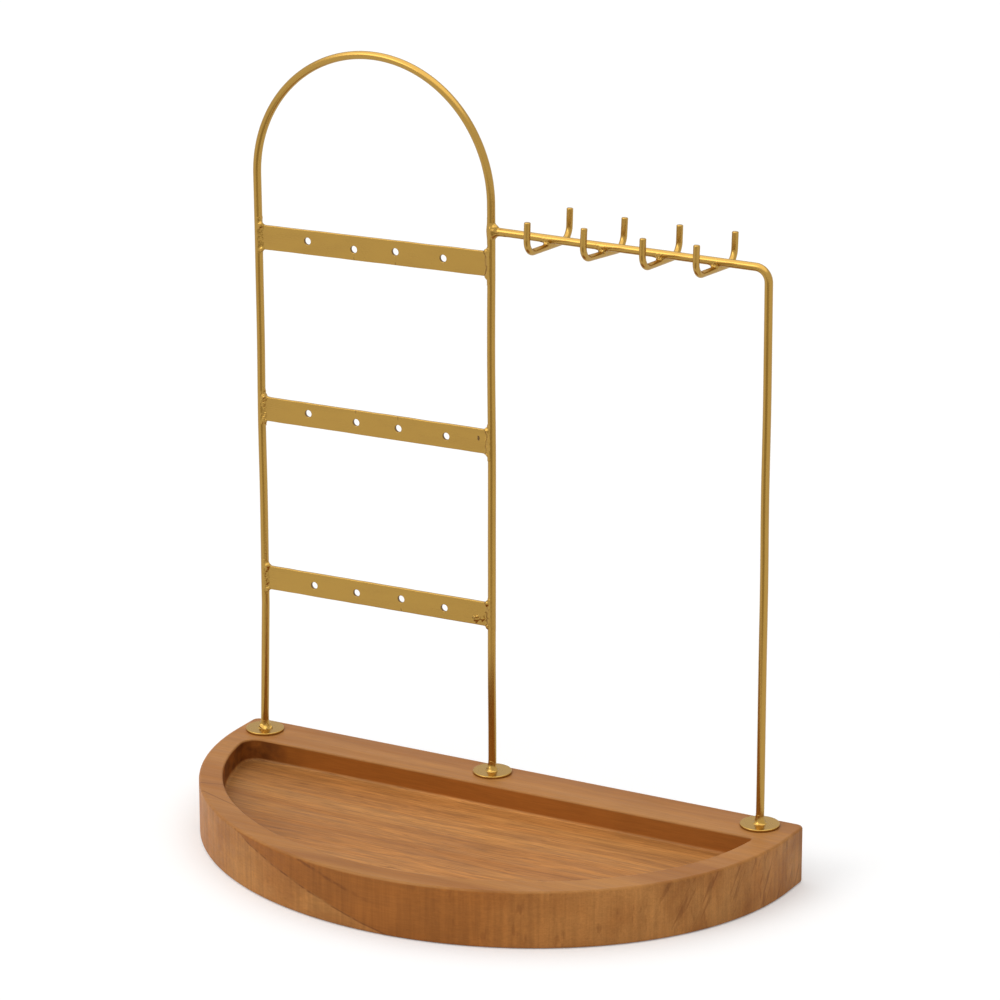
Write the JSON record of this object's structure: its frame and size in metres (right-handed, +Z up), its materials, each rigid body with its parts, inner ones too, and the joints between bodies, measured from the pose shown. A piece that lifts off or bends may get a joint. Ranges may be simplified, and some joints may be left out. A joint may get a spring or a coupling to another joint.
{
  "type": "jewelry stand",
  "caption": "Tabletop jewelry stand: a half-moon wooden tray carries a welded brass wire arch with drilled earring bars and a side arm with necklace hooks.",
  "frame": {"origin": "middle of the wooden base's underside, at half its width and half its depth", "axes": "+Z up, +X along the straight back edge from the arch towards the arm, +Y to the straight back"},
  "size_m": [0.24, 0.1295, 0.2979],
  "materials": {
    "wood": "satin oiled hardwood",
    "brass": "satin brass plating",
    "steel": "zinc plated"
  },
  "bodies": {
    "root": {"wood_base": "wood", "arch_wire": "brass", "arm_wire": "brass", "arm_weld": "brass", "earring_bar_top": "brass", "earring_bar_middle": "brass", "earring_bar_bottom": "brass", "bar_weld_top": "brass", "bar_weld_middle": "brass", "bar_weld_bottom": "brass", "necklace_hook_1": "brass", "necklace_hook_2": "brass", "necklace_hook_3": "brass", "necklace_hook_4": "brass", "hook_weld_1": "brass", "hook_weld_2": "brass", "hook_weld_3": "brass", "hook_weld_4": "brass", "foot_disc_left": "brass", "foot_disc_middle": "brass", "foot_disc_right": "brass", "foot_weld_left": "brass", "foot_weld_middle": "brass", "foot_weld_right": "brass", "leg_washers": "steel", "leg_nuts": "steel"}
  },
  "joints": []
}
